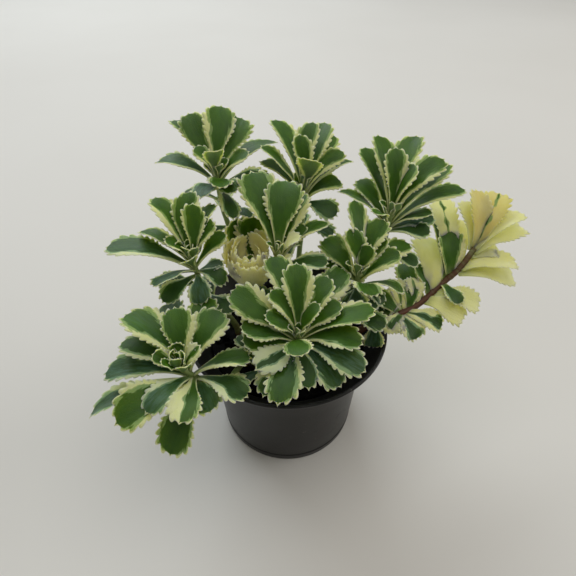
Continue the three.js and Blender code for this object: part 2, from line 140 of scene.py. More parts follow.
# Each rosette: where its stem stands in the soil, the crown where its leaves meet, the way its tip
# leans (azimuth, rise), and its leaves from the lowest up. A leaf is its tip seen from the crown
# (azimuth, rise, reach), its width, and how much of its left and right half is cream, in tenths.
# Lower gives how many small leaves stand along the stem and where the first one points, and bud
# how many stand at the heart and how long. Cup and arch are there where they differ from others.
ROSETTES = {
    "front": {
        "foot": (3, -17),
        "crown": (4.1, -26.6, 85),
        "lean": (-80, 78),
        "leaves": [
            (-124, -24, 25, 11, 3, 6), (-48, -20, 24, 12, 2, 4), (-105, -8, 28, 13, 3, 2),
            (-35, 0, 28, 12, 1, 3), (-134, 0, 21, 11, 7, 7), (-79, -14, 20, 9, 1, 2),
            (-176, 16, 22, 11, 2, 6), (-170, 2, 21, 11, 3, 3), (-19, 13, 24, 12, 1, 3),
            (8, 20, 30, 12, 5, 1), (157, 26, 30, 13, 2, 5), (134, 6, 30, 12, 1, 1),
            (55, 18, 34, 12, 1, 5), (112, 32, 33, 12, 4, 4), (92, 52, 27, 12, 3, 5),
            (56, 38, 25, 11, 6, 3), (24, 34, 20, 9, 2, 3), (-87, 24, 16, 10, 3, 1),
            (178, 42, 16, 9, 2, 3), (137, 48, 20, 9, 4, 4), (30, 58, 15, 7, 2, 2),
        ],
        "lower": (0, 0),
        "bud": (5, 6),
    },
    "front_left": {
        "foot": (-18, -17),
        "crown": (-37.5, -39, 80),
        "lean": (180, 48),
        "leaves": [
            (-162, -17, 37, 14, 1, 5), (-98, -35, 29, 14, 1, 1), (-135, -6, 28, 15, 3, 3),
            (-118, 4, 20, 11, 2, 4), (-84, 2, 22, 11, 1, 8), (-53, -14, 18, 12, 1, 3),
            (-22, -6, 25, 13, 2, 5), (10, 6, 24, 13, 1, 5), (-180, -1, 29, 13, 2, 5),
            (160, 12, 26, 12, 4, 3), (145, 28, 30, 15, 4, 5), (76, 20, 30, 12, 1, 2),
            (109, 12, 32, 12, 1, 1), (56, 32, 25, 14, 4, 4), (104, 44, 23, 12, 1, 5),
            (28, 57, 12, 7, 7, 7),
        ],
        "lower": (0, 0),
        "bud": (10, 10.5),
    },
    "left": {
        "foot": (-23, 0),
        "crown": (-38.3, 0.9, 100),
        "lean": (150, 78),
        "leaves": [
            (176, 6, 34, 15, 5, 1), (-132, -8, 19, 10, 1, 3), (-125, -26, 20, 9, 1, 3),
            (-29, -20, 16, 10, 1, 3), (11, -22, 13, 9, 2, 3), (-74, -24, 19, 9, 2, 2),
            (152, 15, 25, 10, 2, 3), (128, 34, 30, 13, 5, 6), (93, 48, 27, 12, 2, 6),
            (64, 40, 24, 11, 2, 4), (38, 20, 17, 9, 2, 4), (78, 66, 22, 9, 3, 3), (40, 52, 18, 9, 3, 3),
            (172, 46, 13, 8, 3, 3), (-85, 32, 11, 8, 3, 4),
        ],
        "lower": (4, -180),
        "bud": (7, 8),
    },
    "back_left": {
        "foot": (-15, 19),
        "crown": (-31, 37, 118),
        "lean": (-100, 82),
        "leaves": [
            (-68, -16, 25, 9, 2, 5), (-100, 5, 20, 11, 2, 2), (-60, 6, 19, 10, 2, 3),
            (170, 10, 26, 15, 3, 2), (1, -5, 24, 11, 3, 2), (45, 8, 35, 12, 1, 1),
            (132, 28, 33, 13, 1, 1), (24, 26, 17, 9, 2, 4), (-78, 14, 21, 11, 2, 2),
            (124, 42, 29, 13, 1, 5), (66, 32, 30, 15, 3, 1), (85, 44, 31, 14, 4, 2),
            (158, 54, 14, 8, 3, 3), (-74, 58, 17, 8, 3, 3),
        ],
        "lower": (4, -180),
        "bud": (6, 7),
    },
    "back_middle": {
        "foot": (4, 21),
        "crown": (7.2, 36.9, 112),
        "lean": (80, 82),
        "leaves": [
            (-45, -16, 20, 11, 1, 2), (-120, -8, 18, 9, 3, 2), (22, 0, 18, 11, 3, 4),
            (138, 12, 25, 11, 2, 4), (114, 32, 36, 13, 2, 4), (146, 30, 26, 10, 2, 4),
            (30, 15, 26, 9, 3, 5), (26, 33, 23, 9, 3, 5), (77, 55, 28, 10, 4, 4), (62, 23, 33, 11, 2, 4),
            (68, 38, 32, 11, 4, 3), (104, 68, 22, 9, 3, 4), (-75, 66, 18, 11, 4, 4),
        ],
        "lower": (4, -180),
        "bud": (6, 7),
    },
    "back_right": {
        "foot": (21, 14),
        "crown": (43.8, 21, 108),
        "lean": (60, 80),
        "leaves": [
            (-20, -16, 18, 9, 2, 4), (10, -10, 20, 10, 1, 4), (155, 14, 24, 12, 1, 1),
            (-8, 6, 17, 9, 2, 4), (120, 16, 23, 11, 1, 2), (14, 15, 33, 12, 2, 4), (34, 27, 33, 13, 4, 2),
            (26, 44, 30, 12, 3, 4), (108, 29, 34, 12, 1, 3), (100, 42, 35, 12, 3, 2),
            (66, 38, 37, 13, 3, 2), (86, 60, 27, 10, 2, 4), (43, 61, 22, 11, 1, 3),
            (-150, 26, 10, 8, 3, 3),
        ],
        "lower": (4, -180),
        "bud": (6, 7),
    },
    "right_middle": {
        "foot": (15, -2),
        "crown": (29.2, -0.2, 92),
        "lean": (70, 82),
        "leaves": [
            (-110, -20, 15, 9, 3, 3), (-20, -6, 19, 10, 2, 5), (134, 26, 21, 12, 2, 4),
            (150, 8, 19, 9, 2, 3), (28, 19, 26, 11, 3, 5), (10, 33, 19, 10, 3, 5), (40, 42, 19, 8, 3, 4),
            (-78, 14, 15, 13, 3, 3), (95, 50, 31, 10, 3, 4), (54, 46, 25, 11, 3, 4),
            (120, 64, 20, 9, 3, 3), (40, 70, 14, 8, 3, 3), (-92, -14, 17, 9, 3, 4),
            (-62, -32, 15, 9, 4, 3), (-34, -30, 15, 8, 3, 3), (-150, -24, 12, 8, 2, 3),
        ],
        "lower": (4, -180),
        "bud": (7, 7.5),
    },
    "centre": {
        "foot": (-1, 3),
        "crown": (-3.8, 4.9, 100),
        "lean": (90, 82),
        "leaves": [
            (-20, 0, 21, 11, 4, 6), (27, 20, 24, 12, 3, 5), (-50, 14, 8, 6, 9, 9), (66, 33, 28, 13, 2, 5),
            (43, 27, 16, 9, 4, 4), (113, 38, 36, 17, 2, 5), (82, 46, 30, 16, 2, 1), (5, 42, 12, 7, 9, 9),
        ],
        "lower": (3, -60),
        "bud": (5, 6),
    },
    "cream": {
        "foot": (-12, 6),
        "crown": (-15.2, 4.8, 90),
        "lean": (-90, 80),
        "leaves": [
            (-100, 42, 15, 16, 10, 10), (-54, 44, 14, 15, 10, 10), (-148, 46, 14, 15, 10, 10),
            (-16, 52, 10, 10, 10, 10), (165, 56, 16, 14, 10, 10), (118, 55, 23, 15, 5, 3),
            (84, 60, 23, 14, 3, 5), (58, 62, 18, 10, 10, 9), (-78, 58, 14, 14, 10, 10),
            (-125, 58, 14, 14, 10, 10), (-32, 62, 13, 11, 10, 10), (178, 64, 14, 13, 10, 10),
            (64, 68, 17, 11, 9, 10), (140, 66, 16, 11, 9, 9), (-100, 68, 10, 9, 10, 10),
            (20, 72, 12, 9, 10, 10),
        ],
        "lower": (0, 0),
        "bud": (6, 8),
        "cup": 0.45,
        "arch": -0.2,
    },
    "low": {
        "foot": (-8, -27),
        "crown": (-12.5, -25, 68),
        "lean": (120, 75),
        "leaves": [(175, 4, 13, 9, 2, 2), (120, 14, 14, 9, 2, 2), (-110, -4, 10, 8, 2, 2)],
        "lower": (0, 0),
        "bud": (4, 6),
    },
}

# The trailing shoot: the points that its stem follows over the rim, and its leaves, each as how far
# back from the stem's tip it joins, azimuth, rise, length, width, and how much of each half is cream.
TRAILING_FOOT = (26, -6)
TRAILING_KNEE = (3, 7)
TRAILING_SWELL = 0.18
TRAILING_TOP_RADIUS = 1.3
TRAILING_STEPS = 6
TRAILING_STEM = [
    (40.6, -5.5, 70), (50, -2.3, 72), (56.2, 0.7, 73), (64, 5.8, 75.5), (71.4, 10.9, 80), (76.4, 13.1, 84),
    (83.5, 19.4, 91),
]
TRAILING_LEAVES = [
    (0, 86, 50, 26, 12, 10, 10), (0, 56, 40, 28, 13, 8, 8), (1, 93, 40, 23, 12, 10, 10),
    (1, 24, 30, 27, 9, 10, 10), (2, 20, 15, 26, 13, 10, 10), (4, 16, 0, 16, 9, 10, 10),
    (11, -2, 8, 24, 13, 10, 10), (13, 0, -8, 27, 12, 10, 10), (13, 98, 33, 36, 12, 8, 8),
    (20, 96, 35, 30, 7, 1, 4), (16, 89, 47, 20, 13, 1, 3), (28, 93, 32, 27, 14, 10, 10),
    (36, 101, 25, 21, 10, 1, 2), (29, 107, 35, 15, 8, 1, 2), (11, 84, 30, 25, 10, 10, 10),
    (21, -71, 0, 13, 8, 1, 2), (27, -21, -2, 20, 12, 10, 10), (32, -32, -6, 18, 12, 10, 10),
    (44, -19, -8, 17, 10, 6, 6), (47, -59, -12, 13, 12, 5, 5), (50, -97, -3, 9, 8, 10, 10),
    (42, 80, 40, 11, 8, 1, 2), (46, 144, 25, 14, 9, 2, 2), (44, 104, 35, 15, 9, 8, 8),
    (58, -98, -34, 10, 9, 2, 3), (52, -155, 15, 9, 8, 1, 2), (38, 95, 40, 13, 9, 8, 8),
    (53, 60, 14, 13, 9, 2, 4), (60, 112, 16, 11, 9, 3, 3), (33, 119, 10, 14, 9, 3, 4),
    (45, -120, -5, 11, 9, 6, 6), (53, 104, 10, 10, 9, 3, 3), (22, 72, 2, 17, 9, 8, 8),
]
YELLOW_LEAVES = 2

# Yellowness of the cream: 0 is a greenish cream, 1 a yellow cream, 2 a full yellow.
CREAM_TINT = {"centre": 0.25, "cream": 1.0}
TRAILING_TINT = 0.5
TRAILING_FULLNESS = 0.45
YELLOW_TINT = 1.8

# What the materials read from a mesh. On a leaf, spot is the place on it across and along and its
# seed. Rim is the distance from the edge, the share of the length and the share of the way from rib
# to edge. Tone is the cream in the left and right half and its tint. Life is 1 on the underside,
# the leaf's age and a share for its wax coat with painted sheen. On a stem, spot is the place round it,
# along it and its redness.
STORED = ("spot", "rim", "tone", "life")

# Camera and room. A light is its name, place, width and height, power and colour.
CAMERA_PLACE = (0.00027, -0.13488, 0.20884)
CAMERA_TILT = 47.47
SENSOR_WIDTH = 36.0
FOCAL_LENGTH = 27.0
FLOOR_HALF = 3.0
LIGHT_TARGET = (0.0, 0.0, 0.08)
LIGHTS = [
    ("window", (-0.7, 1.5, 1.35), (1.6, 1.1), 22.0, (0.86, 0.94, 1.0)),
    ("ceiling", (0.2, 0.1, 1.8), (1.6, 1.6), 9.0, (1.0, 0.99, 0.96)),
    ("right side", (1.6, 0.3, 0.8), (1.0, 0.8), 6.5, (1.0, 0.98, 0.96)),
]
ROOM_COLOUR = (0.82, 0.8, 0.75, 1.0)
ROOM_STRENGTH = 0.32


def linear(code):
    """A colour from its hex code, as the shader's linear red, green, blue and alpha."""
    parts = [int(code[place:place + 2], 16) / 255 for place in (1, 3, 5)]
    return [part / 12.92 if part <= 0.04045 else ((part + 0.055) / 1.055) ** 2.4 for part in parts] + [1.0]


class Socket:
    """An output of a node. Sums with it add Math nodes to its shader."""

    def __init__(self, shader, output):
        self.shader = shader
        self.output = output

    def math(self, operation, first, second=0.0):
        return self.shader.node("ShaderNodeMath", {"operation": operation}, {0: first, 1: second})

    def __add__(self, other):
        return self.math("ADD", self, other)

    def __radd__(self, other):
        return self.math("ADD", other, self)

    def __sub__(self, other):
        return self.math("SUBTRACT", self, other)

    def __rsub__(self, other):
        return self.math("SUBTRACT", other, self)

    def __mul__(self, other):
        return self.math("MULTIPLY", self, other)

    def __rmul__(self, other):
        return self.math("MULTIPLY", other, self)

    def __gt__(self, other):
        return self.math("GREATER_THAN", self, other)

    def __abs__(self):
        return self.math("ABSOLUTE", self)

    def largest(self, other):
        return self.math("MAXIMUM", self, other)


class Shader:
    """One node material, with its surface shader and the nodes that feed it."""

    def __init__(self, name, constants):
        self.material = bpy.data.materials.new(name)
        self.material.use_nodes = True
        self.tree = self.material.node_tree
        self.surface = self.tree.nodes["Principled BSDF"]
        for socket, value in constants.items():
            self.surface.inputs[socket].default_value = value

    def feed(self, target, value):
        if isinstance(value, Socket):
            self.tree.links.new(value.output, target)
        else:
            target.default_value = value

    def node(self, kind, settings, inputs, output=0):
        made = self.tree.nodes.new(kind)
        for setting, value in settings.items():
            setattr(made, setting, value)
        for socket, value in inputs.items():
            self.feed(made.inputs[socket], value)
        return Socket(self, made.outputs[output])

    def attribute(self, name):
        """The three parts of a vector stored on the mesh."""
        stored = self.node("ShaderNodeAttribute", {"attribute_name": name}, {}, "Vector")
        return [self.node("ShaderNodeSeparateXYZ", {}, {0: stored}, part) for part in range(3)]

    def vector(self, x, y, z):
        return self.node("ShaderNodeCombineXYZ", {}, {0: x, 1: y, 2: z})

    def position(self):
        return self.node("ShaderNodeTexCoord", {}, {}, "Object")

    def noise(self, where, scale, detail=2.0, roughness=0.5, distortion=0.0):
        settings = {"noise_dimensions": "3D"}
        inputs = {"Vector": where, "Scale": scale, "Detail": detail, "Roughness": roughness}
        inputs["Distortion"] = distortion
        return self.node("ShaderNodeTexNoise", settings, inputs, "Fac")

    def step(self, value, low, high, start=0.0, end=1.0):
        """A smooth step: start below low, end above high."""
        settings = {"interpolation_type": "SMOOTHSTEP"}
        inputs = {"Value": value, "From Min": low, "From Max": high, "To Min": start, "To Max": end}
        return self.node("ShaderNodeMapRange", settings, inputs)

    def mix(self, share, first, second):
        """A colour between two colours. Sockets 6 and 7 are a Mix node's colours, and 2 its colour out."""
        return self.node("ShaderNodeMix", {"data_type": "RGBA"}, {0: share, 6: first, 7: second}, 2)

    def bump(self, height, strength, distance):
        inputs = {"Height": height, "Strength": strength, "Distance": distance}
        self.feed(self.surface.inputs["Normal"], self.node("ShaderNodeBump", {}, inputs))

    def paint(self, colour, roughness):
        self.feed(self.surface.inputs["Base Color"], colour)
        self.feed(self.surface.inputs["Roughness"], roughness)
        return self.material


def leaf_material():
    shader = Shader("variegated leaf", {
        "Specular IOR Level": 0.3,
        "Subsurface Weight": 0.75,
        "Subsurface Radius": (1.0, 1.0, 0.35),
        "Subsurface Scale": 0.002,
    })
    across_mm, along_mm, seed = shader.attribute("spot")
    edge_mm, along, across = shader.attribute("rim")
    left, right, tint = shader.attribute("tone")
    under, age, wax_and_sheen_share = shader.attribute("life")

    on_left = across > 0.0
    share = right + (left - right) * on_left
    slow = shader.noise(shader.vector(along_mm * 0.13, seed, on_left * 3.7), 1.0, 1.0)
    streak = shader.noise(shader.vector(across_mm * 1.1, along_mm * 0.22, seed), 1.0, 3.0, 0.6)
    tip_fall = shader.step(along, 0.6, 0.95, 1.0, 0.12).largest(shader.step(share, 0.55, 0.75))
    cream_share = share * tip_fall * (slow * 1.5 + 0.3) + shader.step(share, 0.85, 0.97) * 1.5
    inside = 1.0 - abs(across) - cream_share + (streak - 0.5) * 0.42
    fine_edge = shader.step(edge_mm + (streak - 0.5) * 0.45, 0.16, 0.42)
    half_green = shader.step(inside, -0.05, 0.03) * fine_edge
    other_streak = shader.noise(shader.vector(across_mm * 0.9, along_mm * 0.18, seed + 4.3), 1.0, 3.0, 0.6)
    full_green = shader.step(inside - other_streak * 0.55 + 0.14, -0.04, 0.04) * fine_edge
    # Painted sheen: a teal mask on some older leaves, partly their real wax coat and partly the window's
    # reflection painted into the colour.
    teal_sheen_mask = shader.step(wax_and_sheen_share, 0.55, 0.95) * shader.step(streak, 0.3, 0.75)

    patch = shader.noise(shader.vector(across_mm * 0.25, along_mm * 0.12, seed + 9.1), 1.0, 2.0)
    old = shader.step(age + (wax_and_sheen_share - 0.5) * 0.5, 0.25, 0.95)
    young_green = shader.mix(patch, linear("#214901"), linear("#4b7608"))
    old_green = shader.mix(patch, linear("#1a3c08"), linear("#365c20"))
    deep_green = shader.mix(old, young_green, old_green)
    # Painted sheen: the teal mixed over older leaves stands partly for wax and partly for a painted
    # reflection.
    deep_green = shader.mix(teal_sheen_mask * old * 0.55, deep_green, linear("#5c8272"))
    grey_green = shader.mix(old, linear("#86a05a"), linear("#7c9a72"))
    young_cream = shader.mix(patch, linear("#d3da8c"), linear("#ecedb2"))
    old_cream = shader.mix(patch, linear("#bccb97"), linear("#d9e2b6"))
    yellow_cream = shader.mix(patch, linear("#f3e98a"), linear("#fcf6bd"))
    full_yellow = shader.mix(patch, linear("#cdb75c"), linear("#e6da92"))
    cream = shader.mix(old, young_cream, old_cream)
    cream = shader.mix(shader.step(tint, 0.0, 1.0), cream, yellow_cream)
    cream = shader.mix(shader.step(tint, 1.0, 2.0), cream, full_yellow)
    bright_rim = shader.step(edge_mm, 0.05, 0.4, 0.5, 0.0)
    cream = shader.mix(bright_rim, cream, linear("#e2e5c0"))
    colour = shader.mix(half_green, cream, grey_green)
    colour = shader.mix(full_green, colour, deep_green)
    foot_pale = shader.step(along, 0.02, 0.3, 0.5, 0.0)
    colour = shader.mix(foot_pale, colour, linear("#9dab68"))
    colour = shader.mix(under * full_green * 0.6, colour, linear("#7f9768"))

    grain = shader.noise(shader.vector(across_mm * 3.0, along_mm * 1.4, seed), 1.0, 3.0, 0.6)
    shader.bump(grain + streak * 1.5, 0.35, 0.00035)
    roughness = 0.36 + grain * 0.2 + (1.0 - full_green) * 0.08
    return shader.paint(colour, roughness)


def stem_material():
    shader = Shader("young stem", {"Specular IOR Level": 0.4})
    around, height, redness = shader.attribute("spot")
    streak = shader.noise(shader.vector(around * 2.5, height * 0.12, redness), 1.0, 3.0)
    ring = shader.noise(shader.vector(around * 0.3, height * 0.9, redness), 1.0, 2.0)
    green = shader.mix(streak, linear("#6d8a43"), linear("#a3b071"))
    red = shader.mix(streak, linear("#3f2416"), linear("#75492f"))
    colour = shader.mix(shader.step(redness + (ring - 0.5) * 0.5, 0.25, 0.8), green, red)
    shader.bump(ring + streak * 0.6, 0.5, 0.0005)
    return shader.paint(colour, 0.42 + ring * 0.25)


def pot_material():
    shader = Shader("black satin plastic", {"Specular IOR Level": 0.36})
    place = shader.position()
    grain = shader.noise(place, 2600.0, 3.0, 0.6)
    cloud = shader.noise(place, 55.0, 4.0, 0.6)
    dust = shader.step(shader.noise(place, 420.0, 2.0, 0.5), 0.72, 0.78)
    scuff = shader.step(shader.noise(place, 140.0, 5.0, 0.7, 1.2), 0.58, 0.72)
    height_mm = shader.node("ShaderNodeSeparateXYZ", {}, {0: place}, 2) * (1 / METRE)
    # Painted shade: the wall's colour is darker towards its foot and lighter towards the lip, by height.
    painted_shade_fade = shader.step(height_mm, 22.0, 56.0)
    shaded_foot_colour = shader.mix(cloud, linear("#0a0a09"), linear("#131311"))
    lit_top_colour = shader.mix(cloud, linear("#121211"), linear("#20201e"))
    colour = shader.mix(painted_shade_fade, shaded_foot_colour, lit_top_colour)
    colour = shader.mix(scuff * 0.3, colour, linear("#4a4a45"))
    colour = shader.mix(dust * 0.5, colour, linear("#77756a"))
    shader.bump(grain * 0.4 + cloud, 0.25, 0.0003)
    return shader.paint(colour, 0.3 + grain * 0.12 + scuff * 0.15)


def soil_material():
    shader = Shader("damp dark soil", {"Specular IOR Level": 0.12})
    place = shader.position()
    coarse = shader.noise(place, 380.0, 5.0, 0.65)
    fine = shader.noise(place, 1500.0, 4.0, 0.6)
    bark = shader.step(shader.noise(place, 230.0, 3.0, 0.6), 0.6, 0.7)
    colour = shader.mix(coarse, linear("#010100"), linear("#080605"))
    colour = shader.mix(bark * fine, colour, linear("#1b120d"))
    shader.bump(coarse + fine * 0.5, 0.8, 0.0008)
    return shader.paint(colour, 0.78 + fine * 0.2)


def floor_material():
    shader = Shader("pale floor", {"Specular IOR Level": 0.25})
    place = shader.position()
    cloud = shader.noise(place, 2.5, 3.0, 0.55)
    grain = shader.noise(place, 160.0, 3.0, 0.5)
    colour = shader.mix(cloud, linear("#dbd7d0"), linear("#e5e2dc"))
    shader.bump(grain, 0.04, 0.0005)
    return shader.paint(colour, 0.55 + cloud * 0.1)


def direction(azimuth, rise):
    flat = math.cos(math.radians(rise))
    return np.array([
        flat * math.cos(math.radians(azimuth)),
        flat * math.sin(math.radians(azimuth)),
        math.sin(math.radians(rise)),
    ])


def unit(vector):
    return vector / np.linalg.norm(vector)


def smooth_line(points, steps):
    """A smooth line through the points, with so many places to each span."""
    points = np.array(points, float)
    padded = np.vstack([2 * points[0] - points[1], points, 2 * points[-1] - points[-2]])
    line = []
    for index in range(1, len(padded) - 2):
        before, start, end, after = padded[index - 1:index + 3]
        spans = ((before, start), (start, end), (end, after))
        gaps = [max(np.linalg.norm(b - a), 1e-6) ** 0.5 for a, b in spans]
        middle = (end - start) / gaps[1]
        slope_in = (start - before) / gaps[0] - (end - before) / (gaps[0] + gaps[1]) + middle
        slope_out = middle - (after - start) / (gaps[1] + gaps[2]) + (after - end) / gaps[2]
        slope_in, slope_out = slope_in * gaps[1], slope_out * gaps[1]
        for share in np.arange(steps) / steps:
            line.append(
                start * (2 * share ** 3 - 3 * share ** 2 + 1)
                + slope_in * (share ** 3 - 2 * share ** 2 + share)
                + end * (3 * share ** 2 - 2 * share ** 3)
                + slope_out * (share ** 3 - share ** 2)
            )
    line.append(points[-1])
    return np.array(line)


def distances(line):
    """How far along the line each of its points lies."""
    return np.concatenate([[0.0], np.cumsum(np.linalg.norm(np.diff(line, axis=0), axis=1))])


def sample(line, places):
    """The points that lie so far along the line."""
    along = distances(line)
    return np.stack([np.interp(places, along, line[:, axis]) for axis in range(line.shape[1])], axis=1)


def point_back(line, distance):
    """The point so far back from the line's end."""
    return sample(line, [max(distances(line)[-1] - distance, 0.0)])[0]


class Mesh:
    """Gathers vertices, faces and what the materials read from them, for one piece."""

    def __init__(self):
        self.points = []
        self.faces = []
        self.slots = []
        self.stored = {kind: [] for kind in STORED}
        self.count = 0

    def add(self, points, faces, slot=0, **stored):
        self.points.append(points)
        self.faces.extend([tuple(corner + self.count for corner in face) for face in faces])
        self.slots.extend([slot] * len(faces))
        for name, rows in self.stored.items():
            rows.append(np.broadcast_to(stored.get(name, 0.0), (len(points), 3)))
        self.count += len(points)

    def piece(self, name, materials, node):
        """Makes the object, which stands for its CAD node."""
        made = bpy.data.meshes.new(name)
        made.from_pydata((np.concatenate(self.points) * METRE).tolist(), [], self.faces)
        made.polygons.foreach_set("use_smooth", [True] * len(self.faces))
        made.polygons.foreach_set("material_index", self.slots)
        for kind, rows in self.stored.items():
            values = np.concatenate(rows).astype(np.float32)
            made.attributes.new(kind, "FLOAT_VECTOR", "POINT").data.foreach_set("vector", values.ravel())
        for material in materials:
            made.materials.append(material)
        made.update()
        made_object = bpy.data.objects.new(name, made)
        bpy.context.scene.collection.objects.link(made_object)
        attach(made_object, "root")
        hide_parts(node)


def leaf_side(length, width, fullness, draw):
    """Half of a leaf's outline from foot to tip, across and along: its plain edge and its toothed edge."""
    half = width / 2 * draw.uniform(*WIDTH_SPREAD)
    outline = [(share ** (1 - fullness) * half, place * length) for place, share in LEAF_OUTLINE]
    line = smooth_line(outline, OUTLINE_STEPS)
    along = distances(line)
    start = np.interp(TOOTH_START * length, line[:, 1], along)
    teeth = TEETH + sum(length > limit for limit in MORE_TEETH_FROM)
    phases = np.arange(0, (teeth + 0.5) * TOOTH_ROWS + 0.5) / TOOTH_ROWS
    share = phases / (teeth + 0.5)
    places = np.concatenate([
        np.linspace(0, start, PLAIN_ROWS, endpoint=False),
        start + share ** TOOTH_SPACING * (along[-1] - start),
    ])
    plain = sample(line, places)
    ahead = np.gradient(plain, axis=0)
    ahead /= np.linalg.norm(ahead, axis=1, keepdims=True)
    outward = np.stack([ahead[:, 1], -ahead[:, 0]], axis=1)
    sizes = draw.uniform(*TOOTH_SIZES, teeth + 1)
    size = sizes[np.minimum(phases.astype(int), teeth)] * (0.4 + 1.05 * share)
    bulge = np.abs(np.sin(np.pi * (phases % 1) ** 1.3)) ** 0.8
    bulge[-1] = 1.0
    lobe = np.zeros(len(places))
    lobe[PLAIN_ROWS:] = (bulge - 0.5) * size
    depth = TOOTH_DEPTH * width
    toothed = plain + outward * (lobe * depth)[:, None] + ahead * (lobe * depth * 0.5)[:, None]
    plain[-1, 0] = 0.0
    toothed[-1, 0] = 0.0
    return plain, toothed


def add_leaf(mesh, root, tip, width, azimuth, look, draw, cup=CUP, arch=ARCH, fullness=0.0):
    """One leaf: a fleshy arched blade with crenate edges, cupped along its rib.

    Its look is how much of its left and right half is cream, in tenths, the cream's tint and its age.
    """
    chord = tip - root
    length = np.linalg.norm(chord)
    along = chord / length
    side = np.array([-math.sin(math.radians(azimuth)), math.cos(math.radians(azimuth)), 0.0])
    side = unit(side - along * side.dot(along))
    up = np.cross(along, side)
    twist = math.radians(draw.uniform(-TWIST, TWIST))
    side = side * math.cos(twist) + up * math.sin(twist)
    up = np.cross(along, side)
    curl = draw.uniform(*CURL)
    seed = draw.uniform(0, 40)
    cup = cup * draw.uniform(*CUP_SPREAD)
    sway = draw.uniform(-SWAY, SWAY) * length

    columns = []
    for sign in (1, -1):
        plain, toothed = leaf_side(length, width, fullness, draw)
        bulge = (plain[:, 0] / (width / 2)) ** 2
        rib = np.stack([np.zeros(len(plain)), plain[:, 1] * (1 - VEIN_SLANT * bulge)], axis=1)
        reach = np.linalg.norm(plain - rib, axis=1)
        phase = draw.uniform(0, 2 * math.pi)
        for share in LEAF_COLUMNS[1:] if sign < 0 else LEAF_COLUMNS:
            edge = toothed if share == 1 else plain
            flat = rib * (1 - share) + edge * share
            wave = RUFFLE * share ** 2 * np.sin(flat[:, 1] / length * RUFFLE_WAVES + phase)
            wave = wave * np.minimum(1, bulge * 1.5)
            columns.append((sign * share, flat[:, 0] * sign, flat[:, 1], reach * (1 - share), wave))
    columns.sort(key=lambda column: -column[0])
    share = np.array([column[0] for column in columns])
    parts = [np.stack([column[part] for column in columns], axis=1) for part in range(1, 5)]
    x, y, edge_distance, wave = parts

    place = y / length
    x = x + sway * 4 * place * (1 - place)
    height = 4 * arch * length * place * (1 - place) + wave
    height += cup * (np.sqrt(x ** 2 + CUP_ROUNDING) - CUP_BASE)
    height += curl * np.clip((place - CURL_START) / (1 - CURL_START), 0, None) ** 2
    middle = root + along * y[..., None] + side * x[..., None] + up * height[..., None]
    normal = np.cross(np.gradient(middle, axis=0), np.gradient(middle, axis=1))
    size = np.linalg.norm(normal, axis=2, keepdims=True)
    normal = np.where(size > 1e-4, normal / np.maximum(size, 1e-9), up)
    normal *= np.where((normal @ up) < 0, -1.0, 1.0)[..., None]
    thick = RIM_THICKNESS + (RIB_THICKNESS - RIM_THICKNESS) * (1 - np.abs(share)) ** 0.6
    thick = thick[None, :, None] * np.clip(1.25 - place, 0.55, 1.0)[..., None]
    groove = GROOVE_DEPTH * np.exp(-(share / GROOVE_WIDTH) ** 2)[None, :, None]
    groove = groove * np.clip(1 - place, 0, 1)[..., None]
    top = middle + normal * (thick / 2 - groove)
    bottom = middle - normal * (thick / 2 + groove)

    rows, across = x.shape
    last = (rows - 1) * across
    faces_of_blade = [[face[:-1].reshape(-1, 3), face[-1, :1]] for face in (top, bottom)]
    points = np.concatenate(sum(faces_of_blade, []))
    half = last + 1

    def corner(row, column, under):
        return under * half + (row * across + column if row < rows - 1 else last)

    faces = []
    for row in range(rows - 1):
        for column in range(across - 1):
            ring = [(row, column), (row + 1, column), (row + 1, column + 1), (row, column + 1)]
            for under in (0, 1):
                face = [corner(*entry, under) for entry in (ring[::-1] if under else ring)]
                faces.append(tuple(dict.fromkeys(face)))
        for column, turned in ((0, False), (across - 1, True)):
            near = [corner(row, column, 0), corner(row, column, 1)]
            face = near + [corner(row + 1, column, 1), corner(row + 1, column, 0)]
            faces.append(tuple(face[::-1] if turned else face))
    for column in range(across - 1):
        above = (corner(0, column, 0), corner(0, column + 1, 0))
        faces.append(above + (corner(0, column + 1, 1), corner(0, column, 1)))

    def both(values):
        return np.tile(np.concatenate([values[:-1].ravel(), values[-1, :1]]), 2)

    grid_share = np.broadcast_to(share, x.shape)
    spot = np.stack([both(x), both(y), np.full(2 * half, seed)], axis=1)
    rim = np.stack([both(edge_distance), both(place), both(grid_share)], axis=1)
    left, right, tint, age = look
    tone = [left / 10, right / 10, tint]
    life = np.stack([
        np.repeat([0.0, 1.0], half),
        np.full(2 * half, age + draw.uniform(-0.2, 0.2)),
        np.full(2 * half, draw.uniform()),
    ], axis=1)
    mesh.add(points, faces, spot=spot, rim=rim, tone=tone, life=life)


def add_stem(mesh, line, radii, redness):
    """A round stem along a line."""
    sides = STEM_SIDES
    ahead = np.gradient(line, axis=0)
    across = np.array([1.0, 0.0, 0.0])
    rings = []
    for place, step, radius in zip(line, ahead, radii):
        step = unit(step)
        across = unit(across - step * across.dot(step))
        other = np.cross(step, across)
        turns = np.arange(sides) * 2 * math.pi / sides
        rings.append(place + radius * (np.outer(np.cos(turns), across) + np.outer(np.sin(turns), other)))
    faces = [tuple(range(sides))[::-1], tuple(range((len(line) - 1) * sides, len(line) * sides))]
    for ring in range(len(line) - 1):
        for corner in range(sides):
            a, b = ring * sides + corner, ring * sides + (corner + 1) % sides
            faces.append((a, b, b + sides, a + sides))
    around = np.tile(np.sin(np.arange(sides) * 2 * math.pi / sides), len(line))
    height = np.repeat(distances(line), sides)
    spot = np.stack([around, height, np.repeat(redness, sides)], axis=1)
    mesh.add(np.concatenate(rings), faces, STEM_MATERIAL, spot=spot)


